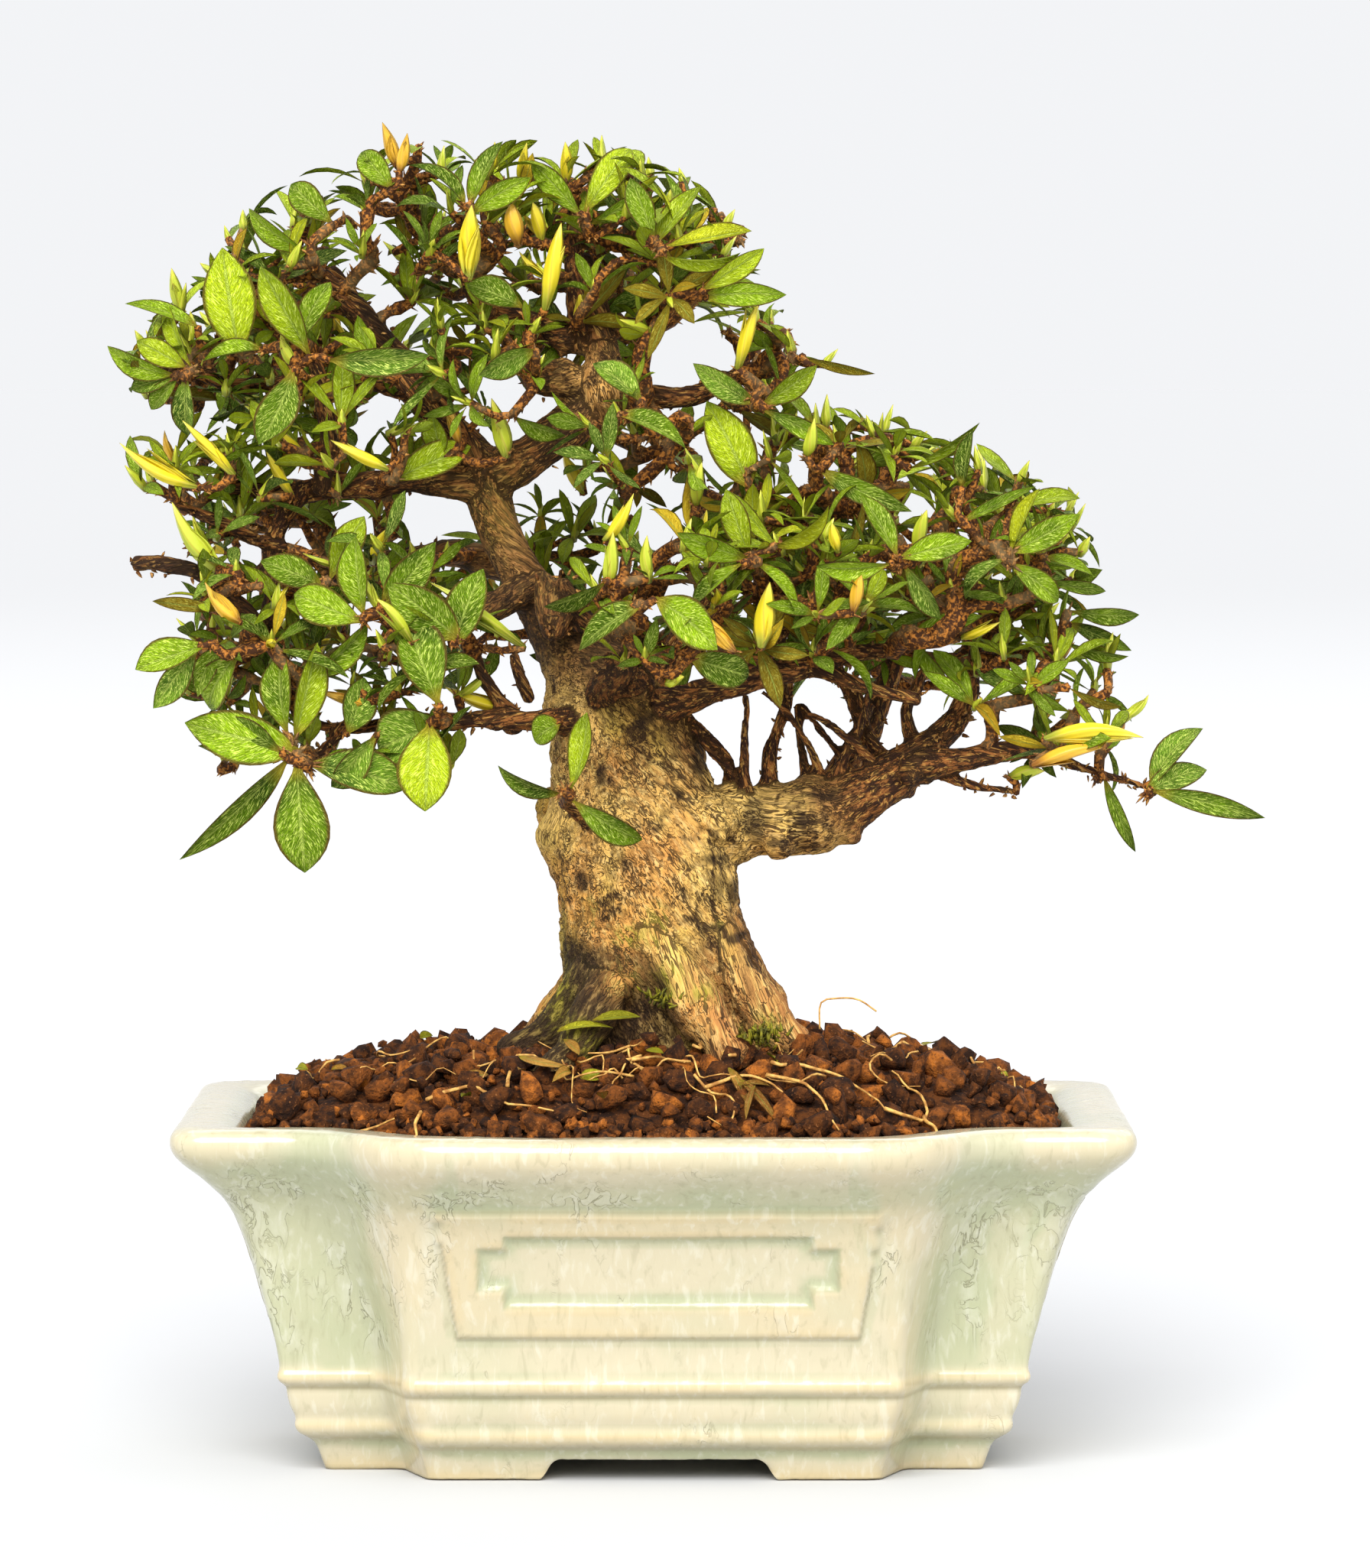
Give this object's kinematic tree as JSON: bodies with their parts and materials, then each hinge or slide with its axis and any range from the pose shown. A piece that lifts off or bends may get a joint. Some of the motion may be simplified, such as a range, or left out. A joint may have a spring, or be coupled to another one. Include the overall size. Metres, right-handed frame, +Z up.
{
  "type": "azalea bonsai",
  "caption": "Small azalea bonsai: stout tapering trunk and open leafy crown in a glazed rectangular pot with indented corners and bracket feet, filled with granular soil.",
  "frame": {"origin": "on the ground, under the middle of the whole object's box; the middle of the pot is 4.75 mm to -X and 3 mm to -Y of it", "axes": "+Z up; +X along the pot's length, to the right as seen in the picture; +Y away from the camera"},
  "size_m": [0.1976, 0.122, 0.2256],
  "materials": {
    "glaze": "gloss",
    "soil": "matte",
    "bark": "matte",
    "leaf": "matte"
  },
  "bodies": {
    "root": {"bough_apex": "bark", "bough_apex_left": "bark", "bough_back_heart": "bark", "bough_back_left": "bark", "bough_back_low": "bark", "bough_back_rise": "bark", "bough_back_top": "bark", "bough_centre_right": "bark", "bough_crest": "bark", "bough_front": "bark", "bough_left_arm": "bark", "bough_left_drop": "bark", "bough_left_low": "bark", "bough_left_middle": "bark", "bough_left_rise": "bark", "bough_left_tip": "bark", "bough_right": "bark", "bough_right_back": "bark", "bough_right_cross": "bark", "bough_right_inner": "bark", "bough_right_rise": "bark", "bough_right_tail": "bark", "bough_shoulder": "bark", "foot_back_left": "glaze", "foot_back_right": "glaze", "foot_front_left": "glaze", "foot_front_right": "glaze", "mass_apex_left": "leaf", "mass_apex_right": "leaf", "mass_back_flank": "leaf", "mass_back_heart": "leaf", "mass_back_left": "leaf", "mass_back_low": "leaf", "mass_back_right": "leaf", "mass_back_top": "leaf", "mass_front": "leaf", "mass_heart": "leaf", "mass_left_crotch": "leaf", "mass_left_drop": "leaf", "mass_left_front": "leaf", "mass_left_heart": "leaf", "mass_left_hem": "leaf", "mass_left_inner": "leaf", "mass_left_low": "leaf", "mass_left_middle": "leaf", "mass_left_tip": "leaf", "mass_right_crest": "leaf", "mass_right_front": "leaf", "mass_right_inner": "leaf", "mass_right_low": "leaf", "mass_right_outer": "leaf", "mass_right_tail": "leaf", "mass_shoulder_left": "leaf", "mass_shoulder_right": "leaf", "mass_sprout": "leaf", "pot": "glaze", "soil": "soil", "trunk": "bark"}
  },
  "joints": []
}
